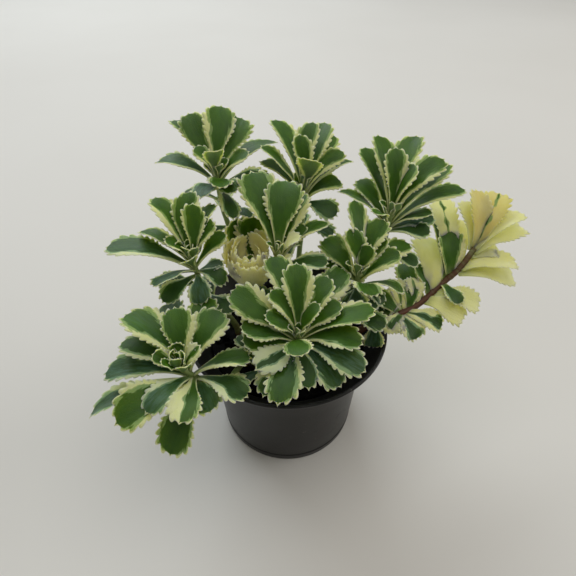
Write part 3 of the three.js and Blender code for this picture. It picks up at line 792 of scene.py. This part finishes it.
def stem_line(foot, crown, lean):
    """Straight up out of the soil, a smooth bend, then straight along the lean to the crown."""
    start = np.array([foot[0], foot[1], SOIL_TOP + STEM_START])
    straight = min(STEM_STRAIGHT, np.linalg.norm(crown - start) * STRAIGHT_SHARE)
    bend = crown - lean * straight
    handle = np.linalg.norm(bend - start) * STEM_HANDLE
    corners = [start, start + np.array([0, 0, handle]), bend - lean * handle, bend]
    share = np.linspace(0, 1, STEM_STEPS)[:, None]
    weights = [(1 - share) ** 3, 3 * share * (1 - share) ** 2, 3 * share ** 2 * (1 - share), share ** 3]
    curve = sum(weight * corner for weight, corner in zip(weights, corners))
    bottom = np.array([[foot[0], foot[1], SOIL_TOP - STEM_DEPTH]])
    return np.concatenate([bottom, curve, crown + lean * np.linspace(-0.6, 0, 5)[:, None] * straight])


def stem_radii(line, swell, top=STEM_TOP_RADIUS):
    """Thinner towards the tip, with a slight swelling at each leaf joint."""
    along = distances(line)
    taper = STEM_BASE_RADIUS + (top - STEM_BASE_RADIUS) * (along / along[-1]) ** STEM_TAPER
    return taper * (1 + swell * np.maximum(0, np.sin(along * 2 * math.pi / SWELL_SPACING)) ** 3)


def leaf_age(rise):
    """From 0 for the upright young leaves to 1 for the level and hanging old ones."""
    return min(max((YOUNG_RISE - rise) / AGE_SPAN, 0.0), 1.0)


def rosette(name, plan, materials, seed):
    """A stem with its leaves: the steeper a leaf stands, the higher it joins."""
    draw = np.random.default_rng(seed)
    mesh = Mesh()
    lean = direction(*plan["lean"])
    crown = np.array(plan["crown"], float)
    line = stem_line(plan["foot"], crown, lean)
    tip = crown + lean * plan["bud"][1] * BUD_RAISE
    line = np.vstack([line, tip])
    along = distances(line)
    redness = np.clip(0.85 - 1.1 * along / along[-1], 0, 1)
    add_stem(mesh, line, stem_radii(line, STEM_SWELL), redness)
    tint = CREAM_TINT.get(name, 0.0)
    cup = plan.get("cup", CUP)
    arch = plan.get("arch", ARCH)
    leaves = sorted(plan["leaves"], key=lambda leaf: leaf[1])
    for index, (azimuth, rise, reach, width, left, right) in enumerate(leaves):
        joint = crown - lean * JOINT_SPREAD * (1 - (index + 1) / len(leaves))
        joint = joint + direction(azimuth, 0) * JOINT_OFFSET
        end = crown + direction(azimuth, rise) * reach
        look = (left, right, tint, leaf_age(rise))
        add_leaf(mesh, joint, end, width, azimuth, look, draw, cup, arch)
    count, first = plan["lower"]
    for index in range(count):
        azimuth = first + GOLDEN_ANGLE * index
        place = point_back(line, LOWER_START + LOWER_STEP * index)
        joint = place + direction(azimuth, 0) * JOINT_OFFSET
        end = place + direction(azimuth, LOWER_RISE) * LOWER_LENGTH
        look = (*draw.uniform(*SMALL_MARGIN, 2), tint, 1.0)
        add_leaf(mesh, joint, end, LOWER_WIDTH, azimuth, look, draw)
    add_bud(mesh, tip, lean, *plan["bud"], tint, draw)
    mesh.piece("foliage_" + name, materials, "shoot_" + name)


def add_bud(mesh, tip, lean, count, length, tint, draw):
    """The young leaves at the heart of a rosette, each smaller and steeper than the last."""
    for index in range(count):
        inward = index / (count - 1)
        azimuth = BUD_AZIMUTH + GOLDEN_ANGLE * index
        rise = BUD_RISE[0] + (BUD_RISE[1] - BUD_RISE[0]) * inward
        joint = tip + lean * (index * BUD_STEP - BUD_DEPTH) + direction(azimuth, 0) * JOINT_OFFSET
        end = tip + direction(azimuth, rise) * length * (1 - BUD_SHORTEN * inward)
        look = (*draw.uniform(*SMALL_MARGIN, 2), tint, 0.0)
        width = length * BUD_WIDTH * (1 - BUD_NARROW * inward)
        add_leaf(mesh, joint, end, width, azimuth, look, draw, BUD_CUP, BUD_ARCH)


def trailing_shoot(materials, seed):
    """The pale shoot that hangs out over the rim, with its leaves all along its end."""
    draw = np.random.default_rng(seed)
    mesh = Mesh()
    x, y = TRAILING_FOOT
    knee = (x + TRAILING_KNEE[0], y, SOIL_TOP + TRAILING_KNEE[1])
    points = [(x, y, SOIL_TOP + STEM_START), knee] + TRAILING_STEM
    line = np.vstack([[x, y, SOIL_TOP - STEM_DEPTH], smooth_line(points, TRAILING_STEPS)])
    along = distances(line)
    redness = np.clip(1.2 - 0.6 * along / along[-1], 0, 1)
    add_stem(mesh, line, stem_radii(line, TRAILING_SWELL, TRAILING_TOP_RADIUS), redness)
    for index, (back, azimuth, rise, length, width, left, right) in enumerate(TRAILING_LEAVES):
        place = point_back(line, back)
        joint = place + direction(azimuth, 0) * JOINT_OFFSET
        tint = YELLOW_TINT if index < YELLOW_LEAVES else TRAILING_TINT
        look = (left, right, tint, leaf_age(rise))
        end = place + direction(azimuth, rise) * length
        add_leaf(mesh, joint, end, width, azimuth, look, draw, fullness=TRAILING_FULLNESS)
    mesh.piece("foliage_trailing", materials, "shoot_trailing")


def turned(profile, steps):
    """Points and faces of a closed form turned round the upright axis, where its profile starts and ends."""
    turns = np.arange(steps) * 2 * math.pi / steps
    rings = profile[1:-1]
    points = [[0.0, 0.0, profile[0][1]]]
    for radius, height in rings:
        points.extend([radius * math.cos(turn), radius * math.sin(turn), height] for turn in turns)
    points.append([0.0, 0.0, profile[-1][1]])
    faces = []
    last = 1 + (len(rings) - 1) * steps
    for corner in range(steps):
        after = (corner + 1) % steps
        faces.append((0, 1 + after, 1 + corner))
        faces.append((last + corner, last + after, len(points) - 1))
        for ring in range(len(rings) - 1):
            a, b = 1 + ring * steps + corner, 1 + ring * steps + after
            faces.append((a, b, b + steps, a + steps))
    return np.array(points), faces


def pot(material):
    """The pot: a foot band, a tapered wall and a wide flared lip, rounded at every edge."""
    inner_top = WALL_TOP_RADIUS - WALL
    profile = [
        (0, 0.5), (28.5, 0.5), (29.2, 0.0), (BASE_RADIUS - 0.7, 0.0), (BASE_RADIUS - 0.15, 0.2),
        (BASE_RADIUS, 0.7), (BASE_RADIUS + 0.2, 3.6), (BASE_RADIUS + 0.25, 4.2),
        (BASE_RADIUS + 0.02, 4.5), (BASE_RADIUS + 0.1, 5.0), (34.4, 15), (35.0, 27), (35.7, 40),
        (WALL_TOP_RADIUS - 0.45, 52), (WALL_TOP_RADIUS - 0.1, 53.8),
        (WALL_TOP_RADIUS + 0.5, 55.0), (WALL_TOP_RADIUS + 1.5, 56.2), (40.5, 59.0), (43.2, 61.6),
        (RIM_RADIUS - 0.6, 62.9), (RIM_RADIUS - 0.15, 63.4), (RIM_RADIUS, 63.9), (RIM_RADIUS - 0.1, 64.3),
        (RIM_RADIUS - 0.45, 64.55), (RIM_RADIUS - 0.9, POT_HEIGHT), (RIM_RADIUS - 1.3, 64.45),
        (RIM_RADIUS - 1.7, 64.0), (40.8, 60.8), (38.0, 57.8), (inner_top + 0.8, 55.5),
        (inner_top + 0.1, 54.2),
        (inner_top - 0.3, 52.5), (34.0, 30), (BASE_RADIUS - WALL, FLOOR_THICKNESS), (0, FLOOR_THICKNESS),
    ]
    mesh = Mesh()
    mesh.add(*turned(profile, POT_STEPS))
    mesh.piece("nursery_pot", [material], "pot")


def soil(material):
    """The soil: a plug with an uneven crumbly top, and loose granules lying on it."""
    draw = np.random.default_rng(71)
    profile = [(0, 2.6), (32.0, 2.6), (34.8, 53.2), (SOIL_RADIUS, 54.2)]
    profile += [(SOIL_RADIUS * (1 - (ring + 1) / (SOIL_RINGS + 1)), SOIL_TOP) for ring in range(SOIL_RINGS)]
    profile += [(0, SOIL_TOP)]
    points, faces = turned(profile, SOIL_STEPS)
    for point in points:
        if point[2] > SOIL_TOP - 0.1:
            where = Vector(point) * SOIL_GRAIN
            point[2] += SOIL_LUMP * noise.fractal(where, 0.9, 2.1, 4) - 0.2
    mesh = Mesh()
    mesh.add(points, faces)
    ball, ball_faces = turned([(0, -1), (0.7, -0.7), (1, 0), (0.7, 0.7), (0, 1)], GRANULE_SIDES)
    for index in range(GRANULES):
        radius = SOIL_RADIUS * 0.96 * math.sqrt(draw.uniform())
        turn = draw.uniform(0, 2 * math.pi)
        size = draw.uniform(*(GRANULE_SIZES if index % LARGE_EVERY else LARGE_SIZES))
        stretch = size * draw.uniform(0.6, 1.2, 3)
        lumps = ball * stretch * (1 + 0.18 * draw.standard_normal(len(ball)))[:, None]
        angle = draw.uniform(0, math.pi)
        cosine, sine = math.cos(angle), math.sin(angle)
        spin = np.array([[cosine, -sine, 0], [sine, cosine, 0], [0, 0, 1]])
        place = [radius * math.cos(turn), radius * math.sin(turn), SOIL_TOP + 0.1 + size * 0.25]
        mesh.add(lumps @ spin.T + place, ball_faces)
    mesh.piece("potting_soil", [material], "soil")


def area_light(name, place, size, power, colour):
    light = bpy.data.lights.new(name, "AREA")
    light.shape = "RECTANGLE"
    light.size, light.size_y = size
    light.energy = power
    light.color = colour
    lamp = bpy.data.objects.new(name, light)
    lamp.location = place
    lamp.rotation_euler = (Vector(LIGHT_TARGET) - Vector(place)).to_track_quat("-Z", "Y").to_euler()
    bpy.context.scene.collection.objects.link(lamp)


def studio():
    """A pale floor under soft light that comes mostly from behind, above and to the left."""
    half = FLOOR_HALF
    corners = [(-half, -half, 0), (half, -half, 0), (half, half, 0), (-half, half, 0)]
    floor = bpy.data.meshes.new("floor")
    floor.from_pydata(corners, [], [(0, 1, 2, 3)])
    floor.materials.append(floor_material())
    ground = bpy.data.objects.new("floor", floor)
    bpy.context.scene.collection.objects.link(ground)

    for light in LIGHTS:
        area_light(*light)
    world = bpy.data.worlds.new("soft room")
    world.use_nodes = True
    background = world.node_tree.nodes["Background"]
    background.inputs["Color"].default_value = ROOM_COLOUR
    background.inputs["Strength"].default_value = ROOM_STRENGTH
    bpy.context.scene.world = world
    bpy.context.scene.view_settings.view_transform = "Standard"


def camera():
    lens = bpy.data.cameras.new("camera")
    lens.sensor_width = SENSOR_WIDTH
    lens.lens = FOCAL_LENGTH
    view = bpy.data.objects.new("camera", lens)
    view.location = CAMERA_PLACE
    view.rotation_euler = (math.radians(CAMERA_TILT), 0.0, 0.0)
    bpy.context.scene.collection.objects.link(view)
    bpy.context.scene.camera = view


def main():
    camera()
    studio()
    pot(pot_material())
    soil(soil_material())
    plant_materials = [leaf_material(), stem_material()]
    for seed, (name, plan) in enumerate(ROSETTES.items()):
        rosette(name, plan, plant_materials, seed)
    trailing_shoot(plant_materials, len(ROSETTES))


main()
